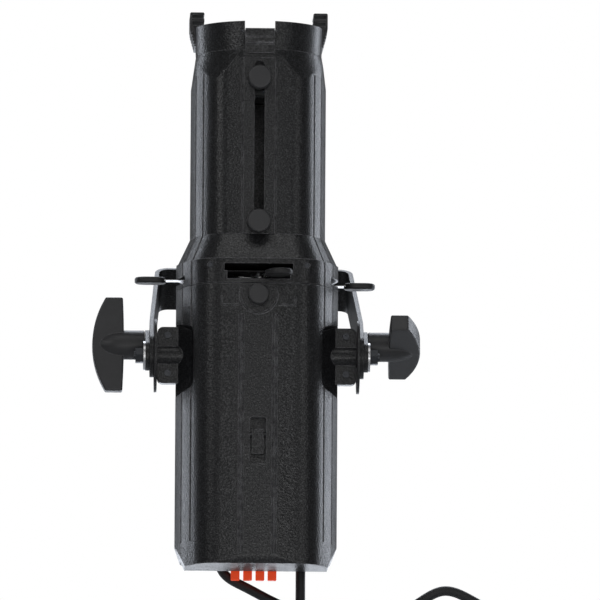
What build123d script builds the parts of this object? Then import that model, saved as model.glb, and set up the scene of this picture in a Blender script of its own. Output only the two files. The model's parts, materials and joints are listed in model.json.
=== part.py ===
from build123d import *
import math
import os

# Ellipsoidal (profile) spotlight hanging in a yoke, millimetres.
# +Z: optical axis, towards the lens.  +X: across the yoke, "right".
# -Y: "near", the side with the focus slot and the frame latch.  +Y: "far", towards the yoke.
# Modelled about the tilt axis (X), then moved so that the centre of the
# hanging hole in the yoke is the origin.

# section and wall
HALF_W = 97.0            # half width of the housing (X)
HALF_D = 88.5            # half depth of the housing (Y)
TUBE_SCALE = 0.835       # lens tube section / housing section
CONE_SCALE = 0.985       # section at the foot of the cone / housing section
WALL = 3.0               # casting wall
SPLIT = 0.1              # half gap between the half shells

# stations along the optical axis
Z_REAR = -259.0          # rear end of the housing
Z_PANEL = -248.0         # rear end of the far half and of the control panel
Z_FULL = -231.0          # the rear taper reaches the full section
LOCK_Z = 63.5            # rotation lock
Z_SEAM = 78.0            # seam between housing and rotating gate
SEAM_GAP = 0.3           # half gap at that seam
Z_COLLAR = 108.0         # top of the gate collar
Z_CONE = 139.0           # top of the cone, foot of the lens tube
Z_TAPER = 321.0          # lens tube starts to narrow
Z_NECK = 362.0           # top of the lens tube
Z_RIM = 396.0            # rim of the front holder

# yoke and tilt lock
YOKE_L = 234.0           # tilt axis to the middle of the crossbar strap
YOKE_T = 5.0             # strap thickness
YOKE_W = 52.0            # strap width
YOKE_IN = 123.3          # inner face of the strap at the pivot
YOKE_OUT = YOKE_IN + YOKE_T
PLATE_OUT = 133.5        # outer face of the end plates
WASHER_OUT = 136.0       # outer face of the pivot washers
YOKE_DEG = 27.5          # arm direction above +Y
YOKE_COS = math.cos(math.radians(YOKE_DEG))
YOKE_SIN = math.sin(math.radians(YOKE_DEG))
STUD_REACH = 36.0        # lock stud distance from the tilt axis
HANG_D = 13.0            # hanging hole
PIVOT_R = 5.0            # pivot bolt
PIVOT_HOLE_R = PIVOT_R + 0.2
STUD_R = 4.0             # lock stud

SIDES = (-1, 1)
CORNERS = [(sx, sy) for sx in SIDES for sy in SIDES]
NODES = {}


def put(name, *shapes):
    """Add the solids of the shapes to a named piece."""
    for shape in shapes:
        NODES.setdefault(name, []).extend(shape.solids())


def put_pair(name, make):
    """Add the left and right versions made by make(side)."""
    put(name, *[make(side) for side in SIDES])


# ---------------------------------------------------------------------------
# basic solids, given by their limits
# ---------------------------------------------------------------------------
def block(x0, x1, y0, y1, z0, z1):
    middle = Pos((x0 + x1) / 2, (y0 + y1) / 2, (z0 + z1) / 2)
    return middle * Box(abs(x1 - x0), abs(y1 - y0), abs(z1 - z0))


def square_post(x, y, half, z0, z1):
    return block(x - half, x + half, y - half, y + half, z0, z1)


def rod_x(x0, x1, radius, y=0, z=0):
    return Pos((x0 + x1) / 2, y, z) * Rot(0, 90, 0) * Cylinder(radius, abs(x1 - x0))


def rod_y(y0, y1, radius, x=0, z=0):
    return Pos(x, (y0 + y1) / 2, z) * Rot(90, 0, 0) * Cylinder(radius, abs(y1 - y0))


def rod_z(z0, z1, radius, x=0, y=0):
    return Pos(x, y, (z0 + z1) / 2) * Cylinder(radius, abs(z1 - z0))


def side_rod(side, x0, x1, radius, y=0):
    """Rod along X on the left (-1) or right (1) side."""
    return rod_x(side * x0, side * x1, radius, y)


def side_hex(side, x0, x1, flats):
    """Hexagonal bar along X, from x0 out to x1 on one side."""
    outline = RegularPolygon(flats / 2, 6, major_radius=False)
    bar = Rot(0, 90, 0) * extrude(outline, amount=x1 - x0, dir=(0, 0, 1))
    return Pos(x0 if side > 0 else -x1, 0, 0) * bar


def ring(z0, z1, inner, outer):
    return rod_z(z0, z1, outer) - rod_z(z0 - 1, z1 + 1, inner)


def polygon(points):
    return make_face(Polyline(*points, close=True))


def ruled_loft(bottom, top):
    return Solid.make_loft([end.face().outer_wire() for end in (bottom, top)], True)


# ---------------------------------------------------------------------------
# common section of housing, gate and lens tube
# ---------------------------------------------------------------------------
# x, y of one quarter: flat face, rounded shoulder, two side panels
QUARTER = [
    (20.0, HALF_D), (44.0, 87.3), (50.0, 86.5), (55.5, 84.9), (60.5, 82.5), (65.0, 79.3),
    (69.2, 75.3), (72.8, 70.8), (76.0, 65.6), (88.0, 42.5), (HALF_W, 10.0),
]
FLUTES = ((79.6, 58.7, 1.8), (90.2, 34.5, 1.6))   # x, y, radius of the long grooves


def inset(points, distance):
    """Move every side of a counterclockwise polygon inwards."""
    lines = []
    for i, (x0, y0) in enumerate(points):
        x1, y1 = points[(i + 1) % len(points)]
        length = math.hypot(x1 - x0, y1 - y0)
        nx, ny = -(y1 - y0) / length, (x1 - x0) / length
        lines.append((nx, ny, nx * x0 + ny * y0 + distance))
    corners = []
    for i, (bx, by, b) in enumerate(lines):
        ax, ay, a = lines[i - 1]
        det = ax * by - ay * bx
        corners.append(((a * by - ay * b) / det, (ax * b - a * bx) / det))
    return corners


def section(z, scale=1.0, depth=0.0):
    """Face of the scaled section at height z, its sides moved in by depth."""
    quarter = [(x * scale, y * scale) for x, y in QUARTER]
    points = [(x, -y) for x, y in quarter]
    points += [(x, y) for x, y in reversed(quarter)]
    points += [(-x, y) for x, y in quarter]
    points += [(-x, -y) for x, y in reversed(quarter)]
    if depth:
        points = inset(points, depth)
    return polygon([(x, y, z) for x, y in points])


def prism(z0, z1, scale=1.0, depth=0.0):
    return extrude(section(z0, scale, depth), amount=z1 - z0, dir=(0, 0, 1))


def cone(z0, depth=0.0):
    """Section narrowing from the gate collar to the lens tube."""
    return ruled_loft(section(z0, CONE_SCALE, depth), section(Z_CONE, TUBE_SCALE, depth))


def frustum(z0, z1, half_x0, half_y0, half_x1, half_y1):
    def rectangle(x, y, z):
        return polygon([(-x, -y, z), (x, -y, z), (x, y, z), (-x, y, z)])
    return ruled_loft(rectangle(half_x0, half_y0, z0), rectangle(half_x1, half_y1, z1))


NEAR = block(-300, 300, -300, -SPLIT, -500, 600)
FAR = block(-300, 300, SPLIT, 300, -500, 600)

# ---------------------------------------------------------------------------
# housing: two half shells split on the mid plane
# ---------------------------------------------------------------------------
EAR_SCREWS = [(sx * 107, z) for sx in SIDES for z in (24.0, -22.0)]   # x, z
BAR_AT = {"y": -83.0, "z": -104.0}   # axis of the safety cable bar


def rear_taper(z0, *half_sizes):
    return frustum(z0, Z_FULL, *half_sizes) + block(-99, 99, -99, 99, Z_FULL, 90)


def bearing_pocket(sx, sy):
    """Side pocket beside a tilt bearing, widening outwards."""
    def rectangle(x, y, z0, z1):
        corners = [(y, z0), (100, z0), (100, z1), (y, z1)]
        return polygon([(sx * x, sy * cy, cz) for cy, cz in corners])
    pocket = ruled_loft(rectangle(77, 24, -43, 28), rectangle(101, 2, -53, 38))
    inner = [e for e in pocket.edges() if abs(e.center().X) < 78 and abs(e.center().Y) < 99]
    return fillet(inner, 8)


def tilt_ear(side):
    ear = Pos(side * 98.2, 0, 0) * Box(42.4, 16, 68)
    edges = ear.edges().filter_by(Axis.Y).sort_by(Axis.X)
    return fillet(edges[-2:] if side > 0 else edges[:2], 7)


def housing():
    body = prism(Z_REAR, Z_SEAM - SEAM_GAP)
    body = body & rear_taper(Z_REAR - 0.01, 85.4, 85.7, 97.2, 96.7)
    for sx, sy in CORNERS:
        body = body - bearing_pocket(sx, sy)
    for side in SIDES:
        body = body + tilt_ear(side) + side_rod(side, 76, 119.4, 13.3)
    # long grooves, and a pair of grooves beside each rib
    for sx, sy in CORNERS:
        for x, y, radius in FLUTES:
            body = body - rod_z(Z_FULL + 1, Z_SEAM + 1, radius, sx * x, sy * y)
        for x in (17.9, 22.1):
            body = body - block(sx * x - 0.8, sx * x + 0.8, sy * 87.3, sy * 90, -248, 41)
    for sx, sy in CORNERS:
        rib = Pos(sx * 20.0, sy * 88.4, -103.5) * Box(2.0, 2.0, 287)
        body = body + fillet(rib.edges().filter_by(Axis.Z), 0.6)
    # the cavity leaves solid blocks behind the bearing pockets
    cavity = prism(Z_REAR + WALL, Z_SEAM + 1, 1.0, WALL)
    cavity = cavity & rear_taper(Z_REAR, 81.6, 82.0, 94.0, 93.5)
    cavity = cavity - block(-120, -73.6, -90, 90, -56, 43.5) - block(73.6, 120, -90, 90, -56, 43.5)
    body = body - cavity
    for side in SIDES:
        body = body - side_rod(side, 60, 130, PIVOT_HOLE_R)
    return body


def near_shell(body):
    # guard ring around the rotation lock, open towards the lens
    guard = rod_y(-89.3, -86, 23.5, z=LOCK_Z) - rod_y(-95, -80, 20.6, z=LOCK_Z)
    guard = guard - block(-30, 30, -95, -80, 72, 95)
    shell = (body & NEAR) + guard
    # angled relief marks beside the guard
    for sx in SIDES:
        shell = shell + block(sx * 24, sx * 45, -88.6, -86, 50.6, 52.4)
        shell = shell + block(sx * 43.2, sx * 45, -88.3, -86, 50.6, 62)
    shell = shell - rod_y(-95, -70, 4.2, z=LOCK_Z)
    # pocket with the safety cable bar
    shell = shell + block(-13, 13, -87, -73, -143, -80)
    pocket = block(-9.7, 9.7, -95, -76, -139, -84)
    shell = shell - fillet(pocket.edges().filter_by(Axis.Y), 3)
    shell = shell - rod_x(-12.0, 12.0, 2.55, **BAR_AT)
    # step wall between the rear end wall and the control panel
    step = prism(Z_REAR + 1, -245, 1.0, WALL - 0.4)
    step = step & frustum(Z_REAR, Z_FULL, 82.2, 82.6, 94.6, 94.1)
    shell = shell + (step & block(-99, 99, -3.0, -SPLIT, -258, -245))
    for x, z in EAR_SCREWS:
        shell = shell - rod_y(-12, 0, 2.2, x, z)
    return shell


def far_shell(body):
    # ends short to take the control panel
    shell = (body & FAR) - block(-120, 120, -1, 120, -270, Z_PANEL)
    for x in range(-42, 43, 12):
        vent = block(x - 2.5, x + 2.5, 80, 95, -150, -78)
        shell = shell - fillet(vent.edges().filter_by(Axis.Y), 2.2)
    for x, z in EAR_SCREWS:
        shell = shell - rod_y(-0.5, 7.0, 2.1, x, z)
    return shell


def ear_screw(x, z):
    head = rod_y(-10.6, -8.0, 3.9, x, z) - rod_y(-11, -9.4, 1.8, x, z)
    return head + rod_y(-8.5, 6.5, 2.0, x, z)


housing_body = housing()
put("housing_screws", *[ear_screw(x, z) for x, z in EAR_SCREWS])
put("near_shell", near_shell(housing_body))
put("far_shell", far_shell(housing_body))
put("safety_bar", rod_x(-11.8, 11.8, 2.5, **BAR_AT) + block(-7, 7, -86.2, -78.5, -128, -97.5))

# ---------------------------------------------------------------------------
# tilt discs with arc slots for the lock studs
# ---------------------------------------------------------------------------
SLOT_R = 4.4                                            # half width of the slot
SLOT_ENDS = [math.radians(YOKE_DEG + turn) for turn in (-80.0, 30.5)]


def tilt_disc(side):
    disc = side_rod(side, 120.0, 123.0, 44.0) + side_rod(side, 119.4, 121.0, 13.0)
    disc = disc - side_rod(side, 115, 126, PIVOT_HOLE_R)
    band = side_rod(side, 118, 125, STUD_REACH + SLOT_R)
    band = band - side_rod(side, 117, 126, STUD_REACH - SLOT_R)
    x = side * 118.0
    low, high = [(x, 90 * math.cos(end), 90 * math.sin(end)) for end in SLOT_ENDS]
    wedge = extrude(polygon([(x, 0, 0), low, (x, 100, 0), high]), amount=7, dir=(side, 0, 0))
    slot = band & wedge
    for end in SLOT_ENDS:
        y, z = STUD_REACH * math.cos(end), STUD_REACH * math.sin(end)
        slot = slot + rod_x(x, side * 125, SLOT_R, y, z)
    return disc - slot


def pivot_bolt(side):
    return side_hex(side, 67.2, 73.4, 16) + side_rod(side, 73.0, 147.5, PIVOT_R)


put_pair("tilt_discs", tilt_disc)
put_pair("pivot_bolts", pivot_bolt)


# ---------------------------------------------------------------------------
# yoke: drawn with the arms along +Y, then turned about the tilt axis
# ---------------------------------------------------------------------------
def in_yoke(shape):
    return Rot(YOKE_DEG, 0, 0) * shape


def yoke_outline(grow):
    """U outline; grow is the distance out from the inner face of the strap."""
    foot, top = YOKE_IN + grow, 114.0 + grow
    y_top = YOKE_L - YOKE_T / 2 + grow
    points = [
        (-foot, -YOKE_W / 2), (-foot, 50), (-top, y_top),
        (top, y_top), (foot, 50), (foot, -YOKE_W / 2),
    ]
    line = FilletPolyline(*points, radius=12 + grow)
    return make_face(line + Line(points[-1], points[0]))


def drill(part, side):
    """Cut the pivot hole and the stud hole through a yoke arm."""
    part = part - side_rod(side, 110, 140, PIVOT_HOLE_R)
    return part - side_rod(side, 110, 140, STUD_R + 0.3, STUD_REACH)


def yoke_strap():
    outer = Pos(0, 0, -YOKE_W / 2) * yoke_outline(YOKE_T)
    inner = Pos(0, 0, -YOKE_W / 2 - 1) * yoke_outline(0)
    strap = extrude(outer, amount=YOKE_W, dir=(0, 0, 1))
    strap = strap - extrude(inner, amount=YOKE_W + 2, dir=(0, 0, 1))
    # rounded arm ends
    strap = strap & (block(-140, 140, 0, 260, -30, 30) + rod_x(-140, 140, YOKE_W / 2))
    strap = strap - rod_y(YOKE_L - 10, YOKE_L + 10, HANG_D / 2)
    for side in SIDES:
        strap = drill(strap, side)
    return in_yoke(strap)


def end_plate(side):
    plate = side_rod(side, YOKE_OUT, PLATE_OUT, 18)
    plate = plate + side_rod(side, YOKE_OUT, PLATE_OUT, 18, STUD_REACH)
    plate = plate + block(side * YOKE_OUT, side * PLATE_OUT, 0, STUD_REACH, -18, 18)
    return in_yoke(drill(plate, side))


def pivot_washer(side):
    washer = side_rod(side, PLATE_OUT, WASHER_OUT, 17.4)
    return washer - side_rod(side, 130, 140, PIVOT_HOLE_R)


def pivot_nut(side):
    nut = side_hex(side, WASHER_OUT, 145.4, 17) - side_rod(side, 130, 150, PIVOT_R + 0.1)
    return in_yoke(nut)


def stud_nut(side):
    nut = side_hex(side, 112.4, 119.6, 13) - side_rod(side, 110, 125, STUD_R + 0.1)
    return in_yoke(Pos(0, STUD_REACH, 0) * nut)


def lock_knob(side, spin):
    """Wing knob on a lock stud; the wings lie along Z before the spin."""
    outer = ThreePointArc((181, -56.5), (197, 0), (181, 56.5))
    inner = ThreePointArc((160.5, 56.5), (159.0, 0), (160.5, -56.5))
    profile = outer + Line((181, 56.5), (160.5, 56.5)) + inner + Line((160.5, -56.5), (181, -56.5))
    wings = extrude(Pos(0, 0, -11) * make_face(profile), amount=22, dir=(0, 0, 1))
    wings = Rot(90, 0, 0) * fillet(wings.edges(), 2.2)
    nose = Spline(
        (158, 17.6), (174, 16.2), (187, 11.4), (195.2, 0), tangents=((1, 0), (0.05, -1))
    )
    hub = make_face(
        Line((134, 0), (134, 16.4)) + Line((134, 16.4), (135.2, 17.6))
        + Line((135.2, 17.6), (158, 17.6)) + nose + Line((195.2, 0), (134, 0))
    )
    knob = wings + revolve(hub, Axis.X)
    knob = Rot(spin, 0, 0) * (knob + rod_x(110.5, 140, STUD_R))
    if side < 0:
        knob = mirror(knob, about=Plane.YZ)
    return Pos(0, STUD_REACH * YOKE_COS, STUD_REACH * YOKE_SIN) * knob


put_pair("yoke_end_plates", end_plate)
put_pair("pivot_washers", pivot_washer)
for side in SIDES:
    put("yoke_nuts", pivot_nut(side), stud_nut(side))
put("yoke_strap", yoke_strap())
put("left_lock_knob", lock_knob(-1, 0))
put("right_lock_knob", lock_knob(1, 65))

# ---------------------------------------------------------------------------
# rotating gate: bearing, collar with cone, plates
# ---------------------------------------------------------------------------
NECK_R = 57.5            # bore of the gate neck
APERTURE_R = 33.0        # gate aperture
COLLAR_SCREWS = [{"x": sx * 57.8, "z": 100} for sx in SIDES]


def bearing_ring():
    bearing = prism(70, 76, 1.0, WALL + 0.3) + rod_z(55, 76, 69)
    return bearing - rod_z(50, 80, 62.3) - rod_y(-90, -60, 3.1, z=LOCK_Z)


def cone_groove(x, y, radius):
    foot = (x * CONE_SCALE, y * CONE_SCALE, Z_COLLAR)
    head = (x * TUBE_SCALE, y * TUBE_SCALE, Z_CONE)
    way = tuple(h - f for f, h in zip(foot, head))
    cutter = Cylinder(
        radius * 0.9, math.hypot(*way) + 1.0, align=(Align.CENTER, Align.CENTER, Align.MIN)
    )
    return Plane(origin=foot, z_dir=way) * cutter


def gate_housing():
    gate = prism(Z_SEAM + SEAM_GAP, Z_COLLAR) + cone(Z_COLLAR)
    gate = gate - prism(80.4, Z_COLLAR, 1.0, WALL) - cone(Z_COLLAR - 0.001, WALL)
    gate = gate - rod_z(70, 82, 60)
    for sx, sy in CORNERS:
        for x, y, radius in FLUTES:
            gate = gate - rod_z(Z_SEAM, Z_COLLAR + 0.5, radius, sx * x, sy * y)
            gate = gate - cone_groove(sx * x, sy * y, radius)
    gate = gate + ring(50.0, 80.4, NECK_R, 62.0)
    # shutter openings on all four sides
    for sx in SIDES:
        gate = gate - block(sx * 80, sx * 110, -43, 43, 83.2, 91.8)
    gate = gate - block(-37.5, 37.5, -100, -78, 83.0, 91.6)
    gate = gate - block(-37.5, 37.5, 78, 100, 83.0, 91.8)
    # second opening on the near side, joined to the shutter opening
    gate = gate - block(-41, 41, -100, -78, 92.8, 101.4)
    gate = gate - block(-37.5, 37.5, -100, -78, 91, 94)
    for at in COLLAR_SCREWS:
        gate = gate - rod_y(-95, -70, 1.6, **at) - rod_y(-95, -80.9, 3.3, **at)
    return gate


def collar_screw(at):
    screw = rod_y(-83.2, -74, 1.5, **at) + rod_y(-83.4, -80.9, 3.0, **at)
    return screw - block(at["x"] - 4, at["x"] + 4, -85, -82.6, 99.6, 100.4)


def gate_plate(z0, z1, hole_radius):
    return prism(z0, z1, 1.0, WALL + 0.2) - rod_z(z0 - 2, z1 + 2, hole_radius)


put("bearing_ring", bearing_ring())
put("neck_retainer", ring(46.4, 50.0, NECK_R, 66.0))
put("barrel_fasteners", *[collar_screw(at) for at in COLLAR_SCREWS])
put("gate_housing", gate_housing())

# ---------------------------------------------------------------------------
# shutters: drawn towards +X, each turned on its pin and then about the axis
# ---------------------------------------------------------------------------
BLADE_T = 0.8
# azimuth deg, blade z, pin radius, start of the grip, blade half width, swivel deg
SHUTTERS = {
    "right": (0.0, 85.2, 72.0, 104.0, 35.0, 0.0),
    "far": (90.0, 88.8, 66.0, 104.0, 32.5, 0.0),
    "left": (180.0, 90.6, 72.0, 109.6, 35.0, 0.0),
    "near": (-90.0, 87.0, 66.0, 104.0, 32.5, 24.0),
}


def shutter_blade(z, pin, grip, half):
    z0, z1 = z - BLADE_T / 2, z + BLADE_T / 2
    blade = block(15, 60, -half, half, z0, z1)
    blade = chamfer(blade.edges().filter_by(Axis.Z).sort_by(Axis.X)[-2:], 12)
    blade = blade + block(58, grip + 14, -8.5, 8.5, z0, z1)
    slot = block(pin - 34, pin + 20, -3.1, 3.1, z - 2, z + 2)
    return blade - fillet(slot.edges().filter_by(Axis.Z), 3.0)


def shutter_grip(z, start):
    grip = Pos(start + 18.7, 0, z) * Box(37.4, 28, 7.3)
    grip = fillet(grip.edges().filter_by(Axis.Z), 12.5)
    grip = fillet(grip.edges().group_by(Axis.Z)[0] + grip.edges().group_by(Axis.Z)[-1], 2.6)
    half = BLADE_T / 2 + 0.02
    return grip - block(start - 1, start + 14.05, -8.55, 8.55, z - half, z + half)


def shutter_bush(z, pin):
    bush = Pos(pin, 0, z) * Box(10, 6, 1.2)
    return fillet(bush.edges().filter_by(Axis.Z), 2.4) - rod_z(z - 2, z + 2, 2.1, pin, 0)


lower_plate = gate_plate(82.0, 83.0, APERTURE_R)
upper_plate = gate_plate(91.8, 92.7, APERTURE_R + 1)
top_plate = gate_plate(101.6, 102.6, APERTURE_R + 4)
top_plate = top_plate - block(-70, -50, -90, -60, 100, 104) - block(50, 70, -90, -60, 100, 104)
for key, (azimuth, z, pin, grip, half, swivel) in SHUTTERS.items():
    place = Rot(0, 0, azimuth) * Pos(pin, 0, 0) * Rot(0, 0, swivel) * Pos(-pin, 0, 0)
    put(key + "_shutter_blade", place * shutter_blade(z, pin, grip, half))
    put(key + "_shutter_grip", place * shutter_grip(z, grip))
    put(key + "_shutter_bush", place * shutter_bush(z, pin))
    pin_x, pin_y = pin * math.cos(math.radians(azimuth)), pin * math.sin(math.radians(azimuth))
    lower_plate = lower_plate - rod_z(80, 85, 2.0, pin_x, pin_y)
    upper_plate = upper_plate - rod_z(90, 95, 2.0, pin_x, pin_y)
    put("shutter_pins", rod_z(82.0, 92.7, 1.98, pin_x, pin_y))
put("gate_plates", lower_plate, upper_plate, top_plate)


def round_knob(z, y0, radius, length, stud_end):
    """Grooved knob on the near side, base at y0, with its stud."""
    knob = rod_y(y0 - length, y0, radius, z=z)
    knob = fillet(knob.edges().filter_by(GeomType.CIRCLE).sort_by(Axis.Y)[0], 2.4)
    groove = rod_y(y0 - 5.0, y0 - 3.4, radius + 5, z=z) - rod_y(y0 - 6, y0 - 2, radius - 1.2, z=z)
    return knob - groove + rod_y(y0 - 1, stud_end, 3.0, z=z)


put("barrel_lock_knob", round_knob(LOCK_Z, -89.6, 12.5, 14.0, -62.6))

# ---------------------------------------------------------------------------
# lens tube: two half shells and two lens carriages
# ---------------------------------------------------------------------------
LENS_R = 58.0
CARRIAGES = {"front": 326.5, "rear": 152.8}   # knob heights
BORE_R = 72.0            # bore of the front holder
LATCH_SLOT = 18.1        # half width of the recess for the frame latch


def round_limit(radius, top_radius):
    """Wide cylinder, then a round taper to the top of the tube."""
    taper = Pos(0, 0, (Z_TAPER + Z_NECK) / 2) * Cone(radius, top_radius, Z_NECK - Z_TAPER)
    return rod_z(Z_CONE - 5, Z_TAPER, 120) + taper


def square_limit(z1, *half_sizes):
    return block(-90, 90, -90, 90, 130, Z_TAPER) + frustum(Z_TAPER, z1, *half_sizes)


def lens_tube():
    outside = prism(Z_CONE, Z_NECK, TUBE_SCALE) & round_limit(87.5, 76.0)
    outside = outside & square_limit(Z_NECK, 81.1, 80, 75.3, 75)
    inside = prism(Z_CONE - 1, Z_NECK + 0.5, TUBE_SCALE, WALL)
    inside = inside & (round_limit(84.0, 72.5) + rod_z(Z_NECK - 0.01, Z_NECK + 1, 72.5))
    inside = inside & square_limit(Z_NECK + 1, 78.1, 77, 72.2, 72)
    barrel = outside + block(-19, 19, -74.9, -72, Z_CONE, 352) - inside
    for sx in SIDES:
        for x, y, radius in FLUTES:
            for sy in SIDES:
                at = (sx * x * TUBE_SCALE, sy * y * TUBE_SCALE)
                barrel = barrel - rod_z(Z_CONE - 1, 335, radius * 0.85, *at)
    for sx in SIDES:
        barrel = barrel - block(sx * 19, sx * 20.4, -80, -72.9, Z_CONE + 1, 340)
    barrel = barrel - block(-LATCH_SLOT, LATCH_SLOT, -90, -74.9, 350, 370)
    focus_slot = block(-6, 6, -80, -65, 145, 348)
    return barrel - fillet(focus_slot.edges().filter_by(Axis.Y), 5.9)


def carriage(z):
    holder = ring(z - 12, z + 12, LENS_R - 2.5, 68.5) - rod_z(z - 4, z + 13, LENS_R + 0.3)
    holder = holder + rod_y(-76.4, -66, 5.7, z=z)
    return holder - rod_y(-80, -60, 3.05, z=z)


def domed_lens(z0, z1, radius, dome_top, dome_radius):
    return rod_z(z0, z1, radius) & (Pos(0, 0, dome_top - dome_radius) * Sphere(dome_radius))


barrel = lens_tube()
put("tube_near_shell", barrel & NEAR)
put("tube_far_shell", barrel & FAR)
for prefix, z in CARRIAGES.items():
    put(prefix + "_carriage", carriage(z))
    put(prefix + "_lens", domed_lens(z - 3.9, z + 12, LENS_R, z + 8, 140))
    put(prefix + "_focus_knob", round_knob(z, -77.2, 13.9, 16.0, -64.5))

# ---------------------------------------------------------------------------
# front holder with colour frame channels, and its latch
# ---------------------------------------------------------------------------
CHANNEL_Z = (400.1, 408.1)       # lower faces of the colour frame channels
CHANNEL_H = 4.4
FRAME_SIDE = 158.75              # colour frame side
CHANNEL_EDGE = FRAME_SIDE / 2 + 1.0
HINGE = {"y": -72.9, "z": 384.0}
# x, z of the sloping foot under a rail
FOOT = [(74.0, 397.0), (82.6, 397.0), (82.2, 392.0), (77.2, 374.0), (74.0, 374.0)]
# y, z of the raised thumb ledge on the latch
THUMB = [(-77.0, 371.0), (-79.3, 369.7), (-79.3, 368.8), (-77.0, 368.0)]


def frame_rail(side):
    rail = Pos(side * 74.15, 19, 406.0) * Box(17.3, 54, 19)
    rail = fillet(rail.edges().filter_by(Axis.Y).group_by(Axis.Z)[-1], 2.0)
    foot = polygon([(side * x, -8, z) for x, z in FOOT])
    rail = rail + extrude(foot, amount=54, dir=(0, 1, 0))
    for z in CHANNEL_Z:
        rail = rail - block(side * 60, side * CHANNEL_EDGE, -50, 60, z, z + CHANNEL_H)
    # grooves across the sloping foot
    for i in range(5):
        z = 376.6 + 3.7 * i
        rail = rail - Pos(side * (77.4 + (z - 374.0) * 0.272), 19, z) * Box(2.6, 60, 1.3)
    return rail


def accessory_holder():
    cup = Pos(0, 0, (Z_NECK + Z_RIM) / 2) * Cone(75.6, 77.4, Z_RIM - Z_NECK)
    cup = cup - rod_z(Z_NECK - 1, Z_RIM + 1, BORE_R)
    cup = cup - block(-LATCH_SLOT, LATCH_SLOT, -90, -60, 379.4, 400)
    cup = cup - block(-LATCH_SLOT, LATCH_SLOT, -90, -74.9, 360, 400)
    for side in SIDES:
        cup = cup + frame_rail(side)
    cup = cup - rod_z(Z_NECK - 1, 394.2, BORE_R)
    far_stop = block(-30, 30, 70, 84.4, 376, 390) + block(-30, 30, CHANNEL_EDGE, 84.4, 386, 407)
    cup = cup + (far_stop - rod_z(370, 420, 74.0))
    return cup - rod_x(-23, 23, 1.3, **HINGE)


def frame_latch():
    latch = block(-17.6, 17.6, -77.4, -75.3, 356.8, 387.0) + rod_x(-17.6, 17.6, 2.6, **HINGE)
    latch = latch + block(-17.6, 17.6, -77.0, -72.9, 382.0, 386.6)
    thumb = polygon([(-16.2, y, z) for y, z in THUMB])
    latch = latch + extrude(thumb, amount=32.4, dir=(1, 0, 0))
    latch = latch + block(-16.2, 16.2, -78.0, -77.0, 376.2, 377.2)
    return latch - rod_x(-25, 25, 1.35, **HINGE)


put("accessory_holder", accessory_holder())
put("frame_latch", frame_latch())
put("barrel_fasteners", rod_x(-22.4, 22.4, 1.25, **HINGE))

# ---------------------------------------------------------------------------
# inside the housing: light engine, cooling, power supply
# ---------------------------------------------------------------------------
COOLER = 60.0            # half side of heat sink and fan
FAN_BLADES = 7


def condenser_holder():
    holder = ring(2, 44, 50, 55) + ring(2, 5, 50, 60.8) + ring(38, 41, 44, 52)
    return holder - rod_z(12, 32, 50)


def heat_sink():
    sink = block(-COOLER, COOLER, -COOLER, COOLER, -50, -40)
    for x in range(-57, 60, 6):
        sink = sink + block(x - 1, x + 1, -COOLER, COOLER, -108, -49)
    return sink


def fan_frame():
    frame = block(-COOLER, COOLER, -COOLER, COOLER, -134, -109) - rod_z(-140, -100, 57)
    frame = frame + rod_z(-134, -131, 22)
    for angle in range(20, 380, 90):
        frame = frame + Rot(0, 0, angle) * block(20, 58.2, -2, 2, -134, -131)
    return frame - rod_z(-140, -100, 2.15)


def fan_rotor():
    rotor = rod_z(-130, -111, 19) + rod_z(-133.5, -129, 2.0)
    for i in range(FAN_BLADES):
        blade = Pos(36, 0, -120.5) * Rot(35, 0, 0) * Box(36, 1.8, 22)
        blade = blade & block(0, 80, -40, 40, -129.5, -111.5)
        rotor = rotor + Rot(0, 0, 360 / FAN_BLADES * i) * blade
    return rotor & rod_z(-134, -110, 54.5)


put("condenser_holder", condenser_holder())
put("condenser_lens", domed_lens(12, 37.9, 49.7, 37, 69))
put("led_module", block(-45, 45, -45, 45, -40, -36) + rod_z(-36, -30, 30))
put("heat_sink", heat_sink())
put("fan_frame", fan_frame())
put("fan_rotor", fan_rotor())
supply = block(-62, 62, -70, -8, -232, -150)
put("power_supply", fillet(supply.edges().filter_by(Axis.Z), 3))
put("engine_frame", block(-66, -61, -50, 50, -140, 30), block(61, 66, -50, 50, -140, 30))

# ---------------------------------------------------------------------------
# control panel, buttons and cables at the rear
# ---------------------------------------------------------------------------
BUTTON = 10.5                            # push button side
BUTTON_X = (-23.4, -8.5, 6.3, 20.8)
BUTTON_Y = 33.0
CABLE_R = 5.8
EXITS = ((-40.0, 50.0), (55.0, 36.0))    # x, y of the cable exits: power in, power out
IN_Y, OUT_Y = EXITS[0][1], EXITS[1][1]
# x, z along each cable
POWER_IN = [
    (-41, -241), (-41, -244.5), (-40.5, -248.8), (-39.0, -252.6), (-13.2, -271.6),
    (18, -287.8), (64, -307), (115, -319), (165, -309), (201, -287.7), (227.6, -275.3),
    (261.6, -286.6), (288, -304), (300, -320), (303.5, -338), (303.5, -352),
]
POWER_OUT = [(55, -241), (55, -254), (55, -262), (55.5, -335)]


def control_panel():
    panel = prism(Z_PANEL, Z_PANEL + 2.5, 1.0, WALL + 0.3)
    panel = panel & block(-85.8, 85.8, 0.3, 84.9, -260, -240)
    for x in BUTTON_X:
        panel = panel - square_post(x, BUTTON_Y, BUTTON / 2 + 0.3, -255, -240)
    panel = panel - block(-26, 26, 50, 70, -255, -240)
    for x, y in EXITS:
        panel = panel - rod_z(-255, -240, 8.9, x, y)
    return panel


def control_board():
    board = block(-36, 36, 20, 76, -240, -238.4)
    for x in BUTTON_X:
        board = board + square_post(x, BUTTON_Y, 3, -242.2, -239.5)
    return board


def push_button(x):
    button = square_post(x, BUTTON_Y, BUTTON / 2, -266.5, -244.0)
    button = fillet(button.edges().filter_by(Axis.Z) + button.edges().group_by(Axis.Z)[0], 1.0)
    return button + square_post(x, BUTTON_Y, 6.4, -245.3, -244.0)


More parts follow.
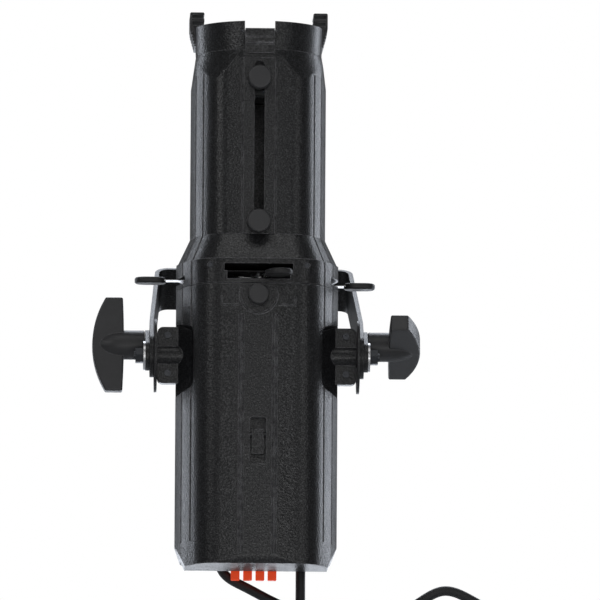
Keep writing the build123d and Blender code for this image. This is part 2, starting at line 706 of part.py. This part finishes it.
def cable_gland(x, y):
    gland = rod_z(-250.6, Z_PANEL, 10.4, x, y) + rod_z(-248.2, -243, 8.7, x, y)
    gland = fillet(gland.edges().group_by(Axis.Z)[0], 1.2)
    gland = gland - rod_z(-270, -240, CABLE_R + 1.9, x, y)
    return gland - Pos(x, y, -249.3) * Cone(9.2, 7.7, 3.4)


def cable(stations, y):
    points = [(x, y, z) for x, z in stations]
    path = Spline(*points)
    return sweep(Plane(origin=points[0], z_dir=path % 0) * Circle(CABLE_R), path=path)


def connector(x, y, z):
    body = rod_z(z - 52, z, 13.5, x, y) - rod_z(z - 53, z - 40, 11.0, x, y)
    body = body + rod_z(z - 50, z - 38, 7.5, x, y)
    body = body + Pos(x, y, z + 7.5) * Cone(13.5, 8.0, 15)
    # finger grooves
    for i in range(12):
        angle = 2 * math.pi * i / 12
        at = (x + 14.4 * math.cos(angle), y + 14.4 * math.sin(angle))
        body = body - rod_z(z - 34, z - 6, 1.9, *at)
    return body - rod_z(z - 10, z + 20, CABLE_R + 1.0, x, y)


put("control_panel", control_panel())
put("display_window", block(-25.7, 25.7, 50.3, 69.7, -248.6, -244.6))
put("control_board", control_board())
for number, x in enumerate(BUTTON_X, 1):
    put("button_%d" % number, push_button(x))
put("cable_glands", *[cable_gland(x, y) for x, y in EXITS])
put("power_in_cable", cable(POWER_IN, IN_Y))
put("power_out_cable", cable(POWER_OUT, OUT_Y))
put("cable_connectors", connector(303.5, IN_Y, -356), connector(55.5, OUT_Y, -338))

# write every piece about the hanging hole
HOME = Location((0, -YOKE_L * YOKE_COS, -YOKE_L * YOKE_SIN))
os.makedirs("parts", exist_ok=True)
for name, solids in NODES.items():
    export_step(Compound(solids).moved(HOME), "parts/%s.step" % name)
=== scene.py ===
import json
import math

import bmesh
import bpy
from mathutils import Matrix, Vector

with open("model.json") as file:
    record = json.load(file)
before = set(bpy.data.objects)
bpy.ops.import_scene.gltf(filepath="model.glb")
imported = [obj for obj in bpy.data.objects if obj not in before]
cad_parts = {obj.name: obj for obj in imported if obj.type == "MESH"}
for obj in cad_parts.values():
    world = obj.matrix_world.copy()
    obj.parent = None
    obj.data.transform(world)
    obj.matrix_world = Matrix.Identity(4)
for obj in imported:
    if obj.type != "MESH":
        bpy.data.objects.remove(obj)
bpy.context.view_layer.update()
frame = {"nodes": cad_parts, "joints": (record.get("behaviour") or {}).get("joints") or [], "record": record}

nodes = frame["nodes"]
subparts = frame["record"]["subparts"]
joints = {joint["name"]: joint for joint in frame["joints"]}
tilt_axis = Vector(joints["tilt"]["pos_m"])


# ---------------------------------------------------------------------------
# node helpers
# ---------------------------------------------------------------------------
class Nodes:
    """The emptied node tree of a material or world."""

    def __init__(self, owner):
        owner.use_nodes = True
        self.owner = owner
        self.tree = owner.node_tree
        self.tree.nodes.clear()

    def put(self, socket, value):
        """Link an output to the socket, or set its value; colours are given as RGB."""
        if isinstance(value, bpy.types.NodeSocket):
            self.tree.links.new(value, socket)
        elif socket.type == "RGBA":
            socket.default_value = (*value, 1)
        else:
            socket.default_value = value

    def node(self, kind, inputs=None, **properties):
        node = self.tree.nodes.new(kind)
        for key, value in properties.items():
            setattr(node, key, value)
        for key, value in (inputs or {}).items():
            self.put(node.inputs[key], value)
        return node


class Material(Nodes):
    """A Principled material with textures in object coordinates."""

    def __init__(self, name):
        super().__init__(bpy.data.materials.new(name))
        self.principled = self.node("ShaderNodeBsdfPrincipled")
        self.node("ShaderNodeOutputMaterial", {0: self.principled.outputs[0]})
        self.coords = self.node("ShaderNodeTexCoord").outputs["Object"]

    def surface(self, **inputs):
        """Fill Principled inputs; an underscore stands for a space."""
        for key, value in inputs.items():
            self.put(self.principled.inputs[key.replace("_", " ")], value)

    def noise(self, scale, detail=4.0, roughness=0.55, stretch=None):
        coords = self.coords
        if stretch:
            mapping = self.node("ShaderNodeMapping", {"Vector": coords, "Scale": stretch})
            coords = mapping.outputs[0]
        inputs = {"Vector": coords, "Scale": scale, "Detail": detail, "Roughness": roughness}
        return self.node("ShaderNodeTexNoise", inputs).outputs["Fac"]

    def voronoi(self, scale, feature="F1"):
        inputs = {"Vector": self.coords, "Scale": scale}
        return self.node("ShaderNodeTexVoronoi", inputs, feature=feature).outputs["Distance"]

    def ramp(self, source, start, end, first=0.0, last=1.0):
        """Blend from first to last between two positions; a single number is a grey."""
        node = self.node("ShaderNodeValToRGB", {0: source})
        stops = ((start, first), (end, last))
        for element, (position, colour) in zip(node.color_ramp.elements, stops):
            if isinstance(colour, float):
                colour = (colour,) * 3
            element.position = position
            element.color = (*colour, 1)
        return node.outputs[0]

    def calc(self, operation, a, b, clamp=False):
        inputs = {0: a, 1: b}
        return self.node("ShaderNodeMath", inputs, operation=operation, use_clamp=clamp).outputs[0]

    def overlay(self, under, over, mask, amount, clamp=False):
        """Lay a colour over another where the mask is bright."""
        factor = self.calc("MULTIPLY", mask, amount, clamp)
        # sockets 6, 7 and output 2 are the colour ones
        inputs = {0: factor, 6: under, 7: over}
        return self.node("ShaderNodeMix", inputs, data_type="RGBA").outputs[2]

    def rounded(self, radius):
        return self.node("ShaderNodeBevel", {"Radius": radius}, samples=4).outputs[0]

    def edge(self, radius, gain=9.0):
        """0 on flats, up to 1 on edges, from the difference to a rounded normal."""
        normal = self.node("ShaderNodeNewGeometry").outputs["Normal"]
        inputs = {0: self.rounded(radius), 1: normal}
        dot = self.node("ShaderNodeVectorMath", inputs, operation="DOT_PRODUCT")
        difference = self.calc("SUBTRACT", 1.0, dot.outputs["Value"], clamp=True)
        return self.calc("MULTIPLY", difference, gain, clamp=True)

    def bump(self, height, strength, distance, normal=None):
        inputs = {"Height": height, "Strength": strength, "Distance": distance}
        if normal is not None:
            inputs["Normal"] = normal
        return self.node("ShaderNodeBump", inputs).outputs[0]


def shade(colour, factor, lift=0.0):
    return tuple(c * factor + lift for c in colour)


# ---------------------------------------------------------------------------
# materials: edge is the radius of the lightened edges, the worn-edge amount how light they get; this
# lightening is partly worn-bare paint, partly a painted edge highlight
# ---------------------------------------------------------------------------
def powder(name, base, rough, grain, strength, wear_and_highlight=0.35, edge=0.0014):
    """Powder coat: pebbled grain, light and dark flecks, faint dust, lightened edges that are partly worn
    paint and partly a painted highlight.
    """
    m = Material(name)
    pebble = m.voronoi(scale=grain, feature="SMOOTH_F1")
    speckle = m.noise(scale=grain * 1.3, detail=3.0, roughness=0.6)
    fleck = m.noise(scale=grain * 0.8, detail=2.0, roughness=0.5)
    cloud = m.noise(scale=9.0, detail=5.0, roughness=0.6)
    fine = m.noise(scale=60.0, detail=5.0, roughness=0.7)

    light = m.ramp(speckle, start=0.52, end=0.68)
    dark = m.ramp(fleck, start=0.32, end=0.47, first=1.0, last=0.0)
    dust = m.ramp(fine, start=0.58, end=0.8)
    patchy = m.ramp(m.noise(scale=140.0, detail=3.0), start=0.4, end=0.6, first=0.35)
    # edge mask: worn paint on the edges, also used as a painted edge highlight
    rubbed_and_highlit = m.calc("MULTIPLY", m.edge(edge), patchy)

    colour = m.ramp(cloud, start=0.3, end=0.72,
                    first=shade(base, factor=0.78), last=shade(base, factor=1.25, lift=0.001))
    colour = m.overlay(colour, shade(base, factor=4.0, lift=0.016), light, amount=0.75)
    colour = m.overlay(colour, shade(base, factor=0.25), dark, amount=0.75)
    colour = m.overlay(colour, over=(0.16, 0.155, 0.15), mask=dust, amount=0.04)
    # painted edge highlight mixed with worn edges: a light colour laid along the edges
    colour = m.overlay(colour, over=(0.26, 0.26, 0.275), mask=rubbed_and_highlit, amount=wear_and_highlight, clamp=True)

    roughness = m.ramp(cloud, start=0.25, end=0.8, first=rough - 0.05, last=rough + 0.07)
    normal = m.bump(pebble, strength, distance=0.0005, normal=m.rounded(edge))
    m.surface(
        Base_Color=colour,
        Roughness=m.overlay(roughness, (rough - 0.12,) * 3, light, amount=0.5),
        Specular_IOR_Level=m.ramp(speckle, start=0.36, end=0.64, first=0.30, last=0.68),
        Metallic=0.0,
        Normal=m.bump(speckle, strength * 0.8, distance=0.00035, normal=normal))
    return m.owner


def plastic(name, base, rough, grain, strength=0.35, wear_and_highlight=0.2, edge=0.0008):
    """Moulded plastic with scuffs and lightened edges, partly worn and partly a painted rim highlight."""
    m = Material(name)
    cloud = m.noise(scale=22.0)
    scuff = m.noise(scale=60.0, detail=5.0, roughness=0.7, stretch=(1.0, 1.0, 0.15))
    scuff = m.ramp(scuff, start=0.62, end=0.8)
    colour = m.ramp(cloud, start=0.3, end=0.7,
                    first=shade(base, factor=0.75), last=shade(base, factor=1.3, lift=0.001))
    colour = m.overlay(colour, over=(0.18, 0.18, 0.18), mask=scuff, amount=0.10)
    # lighter colour along the edges: partly worn plastic, partly a painted rim highlight
    colour = m.overlay(colour, over=(0.18, 0.18, 0.185), mask=m.edge(edge), amount=wear_and_highlight,
                       clamp=True)
    grain = m.noise(scale=grain, detail=3.0, roughness=0.6)
    m.surface(
        Base_Color=colour,
        Roughness=m.ramp(cloud, start=0.3, end=0.75, first=rough - 0.05, last=rough + 0.10),
        Specular_IOR_Level=0.5,
        Normal=m.bump(grain, strength, distance=0.00018, normal=m.rounded(edge)))
    return m.owner


def metal(name, base, rough=0.28, stretch=(1, 1, 60), stain=0.25, tint=(0.30, 0.27, 0.24)):
    """Brushed metal; stretch shapes the brush marks, stain is the strength of tinted spots."""
    m = Material(name)
    brushed = m.noise(scale=260.0, detail=3.0, roughness=0.6, stretch=stretch)
    spots = m.ramp(m.noise(scale=40.0, detail=5.0, roughness=0.65), start=0.60, end=0.78)
    colour = m.ramp(brushed, start=0.25, end=0.75,
                    first=shade(base, factor=0.78), last=shade(base, factor=1.15))
    m.surface(
        Base_Color=m.overlay(colour, over=tint, mask=spots, amount=stain),
        Roughness=m.ramp(brushed, start=0.3, end=0.7, first=rough - 0.08, last=rough + 0.14),
        Metallic=1.0,
        Normal=m.bump(brushed, strength=0.15, distance=0.0001, normal=m.rounded(0.0003)))
    return m.owner


def silicone(name, base):
    """Soft translucent rubber, brightened by a painted glow from emission, though the button is no lamp."""
    m = Material(name)
    cloud = m.noise(scale=120.0, detail=3.0)
    grain = m.noise(scale=900.0, detail=2.0)
    m.surface(
        Base_Color=m.ramp(cloud, start=0.3, end=0.7, first=shade(base, factor=0.86), last=base),
        Roughness=0.42,
        Subsurface_Weight=0.25,
        Subsurface_Scale=0.004,
        Subsurface_Radius=(1.0, 0.25, 0.08),
        Specular_IOR_Level=0.4,
        # painted glow: the emission makes the button look brighter; it is not a lamp
        Emission_Color=base,
        Emission_Strength=0.38,
        Normal=m.bump(grain, strength=0.15, distance=0.0001, normal=m.rounded(0.0006)))
    return m.owner


def glass(name):
    """Coated glass whose reflections turn from blue to violet with the angle."""
    m = Material(name)
    facing = m.node("ShaderNodeLayerWeight", {"Blend": 0.25}).outputs["Facing"]
    smear = m.noise(scale=30.0, detail=5.0, roughness=0.7)
    m.surface(
        Base_Color=(0.93, 0.97, 1.0),
        IOR=1.52,
        Transmission_Weight=1.0,
        Specular_Tint=m.ramp(facing, start=0.0, end=1.0,
                             first=(0.75, 0.85, 1.0), last=(0.45, 0.35, 0.75)),
        Roughness=m.ramp(smear, start=0.5, end=0.8, first=0.02, last=0.09))
    return m.owner


def rubber(name, base):
    m = Material(name)
    cloud = m.noise(scale=35.0, detail=5.0, roughness=0.65)
    fine = m.bump(m.noise(scale=1500.0, detail=2.0), strength=0.3, distance=0.00012)
    coarse = m.noise(scale=160.0, detail=2.0)
    m.surface(
        Base_Color=m.ramp(cloud, start=0.3, end=0.75,
                          first=shade(base, factor=0.7), last=shade(base, factor=1.5, lift=0.004)),
        Roughness=m.ramp(cloud, start=0.3, end=0.75, first=0.48, last=0.66),
        Specular_IOR_Level=0.45,
        Normal=m.bump(coarse, strength=0.2, distance=0.0003, normal=fine))
    return m.owner


def circuit_board(name):
    """Green board with a brick pattern for its tracks."""
    m = Material(name)
    tracks = m.node("ShaderNodeTexBrick", {
        "Vector": m.coords,
        "Scale": 120.0,
        "Color1": (0.012, 0.12, 0.045),
        "Color2": (0.02, 0.17, 0.07),
        "Mortar": (0.05, 0.28, 0.12)})
    m.surface(
        Base_Color=tracks.outputs["Color"],
        Roughness=m.ramp(m.noise(scale=80.0), start=0.3, end=0.7, first=0.25, last=0.45))
    return m.owner


def led_phosphor(name):
    m = Material(name)
    cells = m.voronoi(scale=160.0)
    m.surface(
        Base_Color=m.ramp(cells, start=0.2, end=0.6,
                          first=(0.85, 0.62, 0.08), last=(0.95, 0.78, 0.2)),
        Roughness=0.35,
        Normal=m.bump(cells, strength=0.4, distance=0.0004))
    return m.owner


def pale_floor(name):
    """Matt floor that glows to the camera only."""
    m = Material(name)
    seen = m.node("ShaderNodeLightPath").outputs["Is Camera Ray"]
    m.surface(
        Base_Color=m.ramp(m.noise(scale=3.0), start=0.2, end=0.8,
                          first=(0.52, 0.52, 0.515), last=(0.58, 0.58, 0.58)),
        Roughness=0.85,
        Emission_Color=(1.0, 1.0, 1.0),
        Emission_Strength=m.calc("MULTIPLY", seen, 0.62))
    return m.owner


TUBE_BLACK = (0.0108, 0.0112, 0.0124)

# keyed by CAD material slot, apart from "tube" and "latch"
MATERIALS = {
    # worn-edge amounts near 1, and the wider edge radii of latch and knob, make the lightened edges act
    # mostly as painted edge highlights
    "black_casting": powder("black_powder_coat", base=(0.0105, 0.0108, 0.0120),
                            rough=0.32, grain=460.0, strength=0.6, wear_and_highlight=1.0),
    "tube": powder("black_powder_coat_tube", base=TUBE_BLACK,
                   rough=0.32, grain=460.0, strength=0.5, wear_and_highlight=0.9),
    "latch": powder("black_powder_coat_latch", base=TUBE_BLACK,
                    rough=0.32, grain=460.0, strength=0.4, wear_and_highlight=1.0, edge=0.0022),
    "black_yoke": powder("black_yoke_coat", base=(0.011, 0.0112, 0.012),
                         rough=0.40, grain=600.0, strength=0.45),
    "black_internal": powder("matt_black_inner", base=(0.006, 0.006, 0.0065),
                             rough=0.62, grain=700.0, strength=0.3, wear_and_highlight=0.1),
    "black_knob": plastic("knob_plastic", base=(0.034, 0.034, 0.036),
                          rough=0.40, grain=500.0, strength=0.4, wear_and_highlight=0.6, edge=0.0022),
    "grip_plastic": plastic("grip_plastic", base=(0.017, 0.017, 0.018), rough=0.46, grain=700.0),
    "black_oxide_steel": metal("black_oxide_steel", base=(0.075, 0.078, 0.085), rough=0.34,
                               stretch=(1, 1, 1), stain=0.5, tint=(0.03, 0.028, 0.026)),
    "bright_steel": metal("zinc_steel", base=(0.66, 0.66, 0.67)),
    "blade_steel": metal("blade_steel", base=(0.56, 0.56, 0.56), rough=0.24,
                         stretch=(1, 1, 1), stain=0.35, tint=(0.25, 0.20, 0.16)),
    "sink_aluminium": metal("anodised_aluminium", base=(0.55, 0.56, 0.58), rough=0.36,
                            stretch=(1, 1, 20), stain=0.1),
    "button_red": silicone("orange_red_button", base=(0.95, 0.075, 0.012)),
    "display_dark": plastic("dark_display", base=(0.004, 0.005, 0.010),
                            rough=0.12, grain=300.0, strength=0.02),
    "lens_glass": glass("lens_glass"),
    "cable_rubber": rubber("cable_rubber", base=(0.018, 0.018, 0.019)),
    "pcb_green": circuit_board("circuit_board"),
    "led_yellow": led_phosphor("led_phosphor"),
}


def paint(piece, material):
    if not piece.material_slots:
        piece.data.materials.append(material)
    for slot in piece.material_slots:
        slot.material = material


for part in subparts:
    paint(nodes[part["node"]], MATERIALS[part["material_slot"]])
for name in ("tube_near_shell", "tube_far_shell", "accessory_holder"):
    paint(nodes[name], MATERIALS["tube"])
paint(nodes["frame_latch"], MATERIALS["latch"])


# ---------------------------------------------------------------------------
# shading: curves come in as facets, so smooth them up to the real edges
# ---------------------------------------------------------------------------
WELD_DISTANCE = 0.00001
SHARP_ANGLE = math.radians(24.0)


def smooth(piece):
    mesh = piece.data
    if "custom_normal" in mesh.attributes:
        mesh.attributes.remove(mesh.attributes["custom_normal"])
    mesh.polygons.foreach_set("use_smooth", [True] * len(mesh.polygons))
    for name in ("sharp_edge", "sharp_face"):
        if name in mesh.attributes:
            mesh.attributes.remove(mesh.attributes[name])
    piece.modifiers.new("join", "WELD").merge_threshold = WELD_DISTANCE
    piece.modifiers.new("edges", "EDGE_SPLIT").split_angle = SHARP_ANGLE
    piece.modifiers.new("flat", "WEIGHTED_NORMAL").mode = "FACE_AREA"


for part in subparts:
    smooth(nodes[part["node"]])

# ---------------------------------------------------------------------------
# studio
# ---------------------------------------------------------------------------
scene = bpy.context.scene
centre = tilt_axis + Vector((0.0, 0.0, 0.07))
FLOOR_HALF = 3.6
FLOOR_DROP = 1.15       # floor below the centre

WHITE = (1, 1, 1)
BLUE = (0.86, 0.91, 1.0)
# name, offset from the centre, aim height above it, width, height, power in W, colour
LIGHTS = [
    ("strip_left", (-1.30, 1.06, 0.0), 0.0, 0.34, 2.2, 10, BLUE),
    ("strip_right", (1.30, 1.06, 0.0), 0.0, 0.34, 2.2, 14, BLUE),
    ("front_left", (-1.9, -2.0, 0.9), 0.0, 1.0, 1.2, 6.5, WHITE),
    ("front_right", (1.8, -2.2, 0.2), 0.0, 1.0, 1.2, 4, WHITE),
    ("front_low", (0.2, -2.4, -0.62), -0.2, 1.2, 0.45, 5, WHITE),
    ("front_soft", (0.0, -2.4, 0.42), 0.0, 0.3, 1.1, 2.0, WHITE),
    ("top_front", (0.0, -1.1, 1.7), 0.1, 1.6, 0.9, 5, WHITE),
    ("top_back", (0.0, 1.5, 1.65), 0.0, 1.8, 1.2, 26, BLUE),
    ("back_low", (0.0, 2.3, -0.45), 0.0, 2.2, 0.7, 12, BLUE),
]


def add_object(name, data, location):
    item = bpy.data.objects.new(name, data)
    item.location = location
    scene.collection.objects.link(item)
    return item


def facing(start, target):
    return (target - start).to_track_quat("-Z", "Y")


def add_floor():
    grid = bmesh.new()
    bmesh.ops.create_grid(grid, x_segments=8, y_segments=8, size=FLOOR_HALF)
    mesh = bpy.data.meshes.new("floor")
    grid.to_mesh(mesh)
    grid.free()
    floor = add_object("floor", mesh, (centre.x, centre.y, centre.z - FLOOR_DROP))
    paint(floor, pale_floor("pale_floor"))


def add_light(name, offset, aim_height, width, height, power, colour):
    data = bpy.data.lights.new(name, "AREA")
    data.shape = "RECTANGLE"
    data.size = width
    data.size_y = height
    data.energy = power
    data.color = colour
    location = centre + Vector(offset)
    light = add_object(name, data, location)
    target = centre + Vector((0, 0, aim_height))
    light.rotation_euler = facing(location, target).to_euler()
    light.visible_camera = False


def add_world():
    """Dim, slightly blue light for the fixture; plain white to the camera."""
    world = Nodes(bpy.data.worlds.new("studio"))
    scene.world = world.owner

    def background(colour, strength):
        return world.node("ShaderNodeBackground", {0: colour, 1: strength}).outputs[0]

    seen = world.node("ShaderNodeLightPath").outputs["Is Camera Ray"]
    mix = world.node("ShaderNodeMixShader", {
        0: seen,
        1: background(colour=(0.97, 0.985, 1.0), strength=0.14),
        2: background(colour=WHITE, strength=1.0)})
    world.node("ShaderNodeOutputWorld", {0: mix.outputs[0]})


def add_camera():
    """A very long lens, slightly below the fixture and looking up."""
    distance = 20.0
    view_width = 0.720      # width seen at the target
    elevation = math.radians(-7.4)
    azimuth = math.radians(-1.4)
    roll = math.radians(0.35)
    target = tilt_axis + Vector((0.0516, 0.0, 0.0690))
    direction = Vector((math.sin(azimuth) * math.cos(elevation),
                        -math.cos(azimuth) * math.cos(elevation),
                        math.sin(elevation)))
    data = bpy.data.cameras.new("camera")
    data.sensor_width = 36.0
    data.lens = 36.0 * distance / view_width
    data.clip_end = 80.0
    camera = add_object("camera", data, target + distance * direction)
    camera.rotation_mode = "QUATERNION"
    turn = Matrix.Rotation(roll, 4, "Z").to_quaternion()
    camera.rotation_quaternion = facing(camera.location, target) @ turn
    scene.camera = camera


add_floor()
for light in LIGHTS:
    add_light(*light)
add_world()
scene.view_settings.view_transform = "Standard"
add_camera()

bpy.context.view_layer.update()
